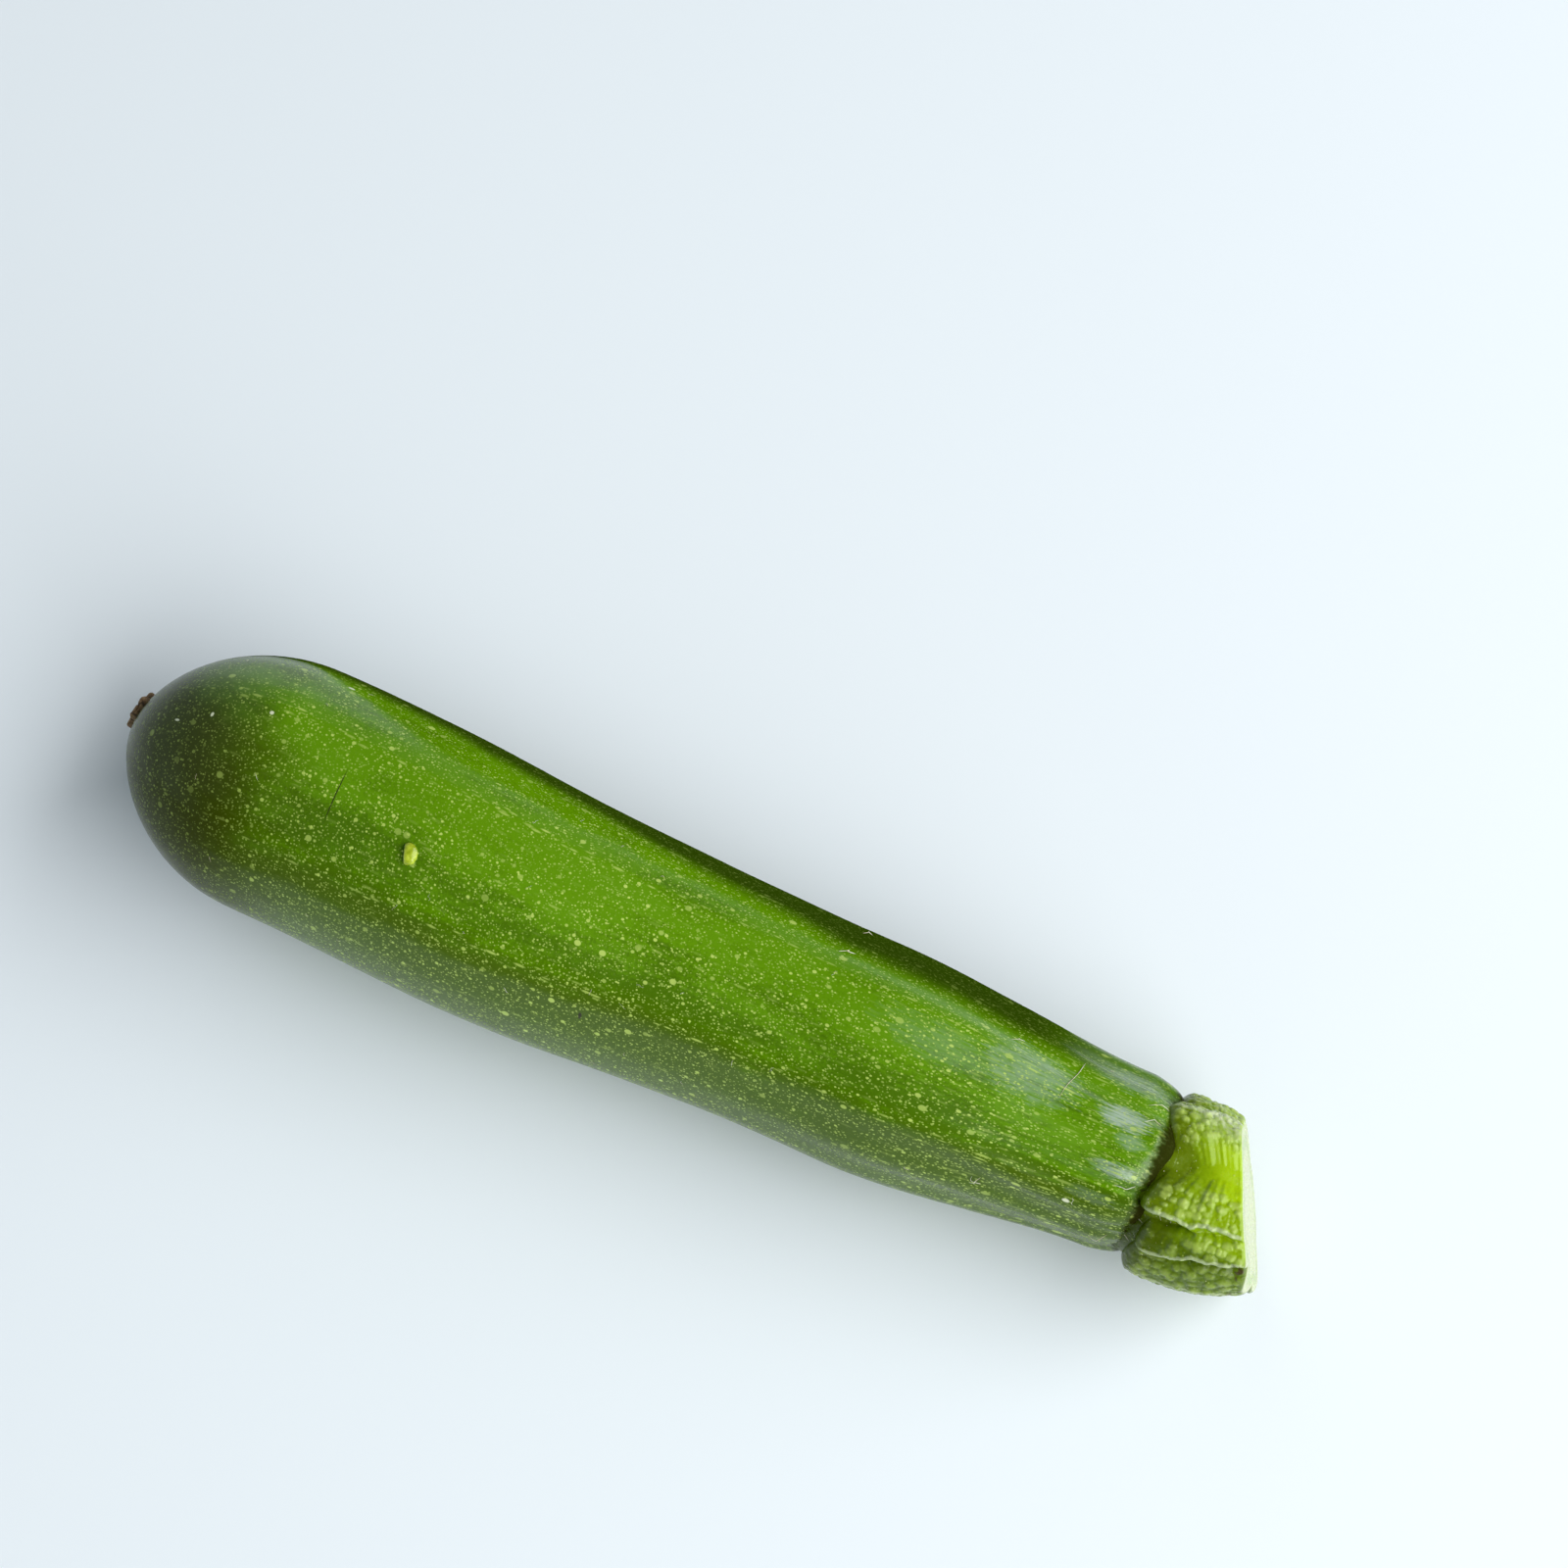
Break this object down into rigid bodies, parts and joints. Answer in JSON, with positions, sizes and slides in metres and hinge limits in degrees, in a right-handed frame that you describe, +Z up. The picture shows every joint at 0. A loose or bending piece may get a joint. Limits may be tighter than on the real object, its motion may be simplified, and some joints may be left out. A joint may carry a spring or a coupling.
{
  "type": "courgette",
  "caption": "Courgette as picked, with a blunt flower end, a slimmer ridged neck, and the lobed foot of its stem cut at a slant.",
  "frame": {"origin": "middle of the bounding box at its lowest face, on the surface that the courgette lies on", "axes": "+X from the flower end to the cut stem, +Y across, +Z up from the surface"},
  "size_m": [0.2235, 0.049, 0.0455],
  "materials": {
    "skin": "waxy green skin with pale flecks, satin",
    "stem": "fresh green plant tissue with pale warts, and a pale moist cut face",
    "scar": "dry brown cork, matte"
  },
  "bodies": {
    "root": {"fruit": "skin", "stem": "stem", "flower_scar": "scar"}
  },
  "joints": []
}
